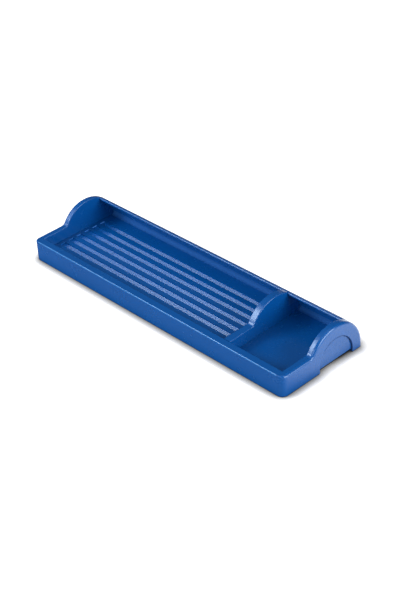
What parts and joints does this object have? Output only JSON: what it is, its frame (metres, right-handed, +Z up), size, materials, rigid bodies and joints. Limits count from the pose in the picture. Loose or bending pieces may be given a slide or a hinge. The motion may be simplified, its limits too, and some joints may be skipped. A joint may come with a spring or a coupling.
{
  "type": "pen tray",
  "caption": "Long low desk tray with a curved rear hood, raised arched ends, grooved pen bay, small clip bay behind a cross wall, and soft feet.",
  "frame": {"origin": "centre of the footprint, on the surface that the feet stand on", "axes": "+X along the tray towards the clip bay, +Y towards the hood, +Z up"},
  "size_m": [0.26, 0.077, 0.0297],
  "materials": {
    "blue_plastic": "high gloss, moulded and extruded",
    "foot_rubber": "matt, soft"
  },
  "bodies": {
    "root": {"tray_body": "blue_plastic", "left_end_cap": "blue_plastic", "right_end_cap": "blue_plastic", "divider": "blue_plastic", "foot_front_left": "foot_rubber", "foot_front_right": "foot_rubber", "foot_rear_left": "foot_rubber", "foot_rear_right": "foot_rubber"}
  },
  "joints": []
}
